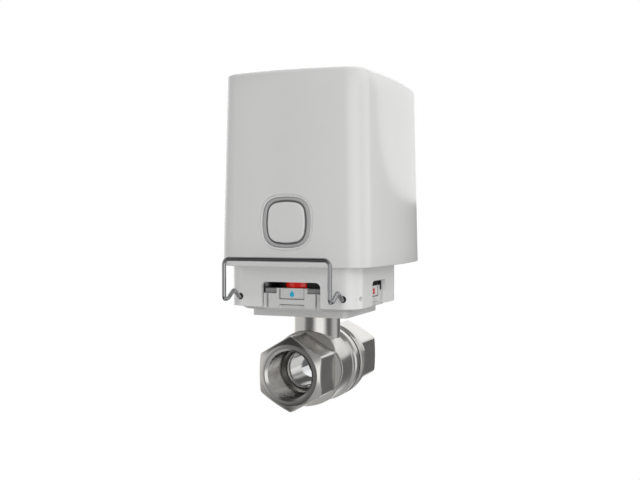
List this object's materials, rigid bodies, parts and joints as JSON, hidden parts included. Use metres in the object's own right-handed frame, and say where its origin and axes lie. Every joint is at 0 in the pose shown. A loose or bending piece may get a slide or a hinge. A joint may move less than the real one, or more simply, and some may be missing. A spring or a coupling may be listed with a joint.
{
  "type": "motorised water shut-off valve",
  "caption": "Quarter-turn ball valve with a battery actuator clipped on its neck: threaded ends, push button, position pointer and wire clip.",
  "frame": {"origin": "on the pipe axis at the inlet, in the plane where the inlet thread starts behind its mouth chamfer", "axes": "+Y along the pipe from inlet to outlet, -Y out of the inlet on the side of the button, +Z along the stem up to the actuator"},
  "size_m": [0.0668, 0.0945, 0.1334],
  "materials": {
    "nickel_brass": "satin nickel plate over machined brass",
    "chromed_ball": "mirror-bright chrome plate",
    "stem_brass": "machined, nickel plated",
    "ptfe": "white PTFE",
    "black_rubber": "moulded rubber",
    "base_plastic": "fine satin moulded light grey",
    "zinc_steel": "zinc plated",
    "label_blue": "printed",
    "label_red": "printed",
    "black_plastic": "moulded black",
    "red_plastic": "glossy moulded red",
    "spring_wire": "bright drawn spring wire",
    "white_gloss": "high gloss moulded white",
    "acetal": "natural acetal",
    "tube_steel": "drawn steel can",
    "gear_brass": "bright cut brass",
    "plate_steel": "punched sheet steel",
    "circuit_board": "glass-epoxy board with green solder mask",
    "light_guide": "milky smoke-grey light guide",
    "led_white": "diode package",
    "shield_tin": "tinned sheet",
    "cell_sleeve": "shrink sleeve"
  },
  "bodies": {
    "housing": {"valve_body": "nickel_brass", "end_cap": "nickel_brass", "joint_seal": "black_rubber", "ball_seats": "ptfe", "stem_washer": "ptfe", "mounting_base": "base_plastic", "base_nut": "zinc_steel", "label_open": "label_blue", "label_closed": "label_red", "lower_housing": "base_plastic", "output_bush": "acetal", "housing_seal": "black_rubber", "cover": "white_gloss", "cover_screws": "zinc_steel", "idler_pin": "zinc_steel", "gear_motor": "tube_steel", "motor_screws": "zinc_steel", "gearbox_plate": "plate_steel", "gearbox_spacers": "zinc_steel", "gearbox_screws": "zinc_steel", "limit_switches": "black_plastic", "main_board": "circuit_board", "board_screws": "zinc_steel", "button_switch": "black_plastic", "light_ring": "light_guide", "status_leds": "led_white", "radio_module": "shield_tin", "antenna": "gear_brass", "buzzer": "black_plastic", "board_connectors": "acetal", "battery_holder": "black_plastic", "batteries": "cell_sleeve", "battery_contacts": "gear_brass", "battery_lid": "black_plastic", "lid_screws": "zinc_steel"},
    "rotor": {"ball": "chromed_ball", "stem": "stem_brass", "stem_orings": "black_rubber", "indicator_disc": "black_plastic", "position_pointer": "red_plastic", "indicator_washer": "zinc_steel", "output_gear": "acetal", "shaft_seal": "black_rubber"},
    "idler": {"idler_gear": "acetal"},
    "pinion": {"motor_pinion": "gear_brass", "motor_shaft": "zinc_steel"},
    "button": {"button_cap": "white_gloss", "switch_plunger": "acetal"},
    "clip": {"locking_clip": "spring_wire"}
  },
  "joints": [
    {"name": "valve_turn", "type": "hinge", "parent": "housing", "child": "rotor", "pos_m": [0, 0.0275, 0], "axis": [0, 0, 1], "range_deg": [0, 90]},
    {"name": "idler_spin", "type": "hinge", "parent": "housing", "child": "idler", "pos_m": [0.012, 0.04829, 0.05], "axis": [0, 0, 1], "range_deg": [-270, 0]},
    {"name": "motor_spin", "type": "hinge", "parent": "housing", "child": "pinion", "pos_m": [0.012, 0.02829, 0.055], "axis": [0, 0, 1], "range_deg": [0, 630]},
    {"name": "button_press", "type": "slide", "parent": "housing", "child": "button", "axis": [0, 1, 0], "range_m": [0, 0.0006], "stiffness_N_per_m": 3000},
    {"name": "clip_pull", "type": "slide", "parent": "housing", "child": "clip", "axis": [0, -1, 0], "range_m": [0, 0.02]}
  ],
  "couplings": [
    {"joint": "idler_spin", "follows": "valve_turn", "ratio": -3},
    {"joint": "motor_spin", "follows": "valve_turn", "ratio": 7}
  ]
}
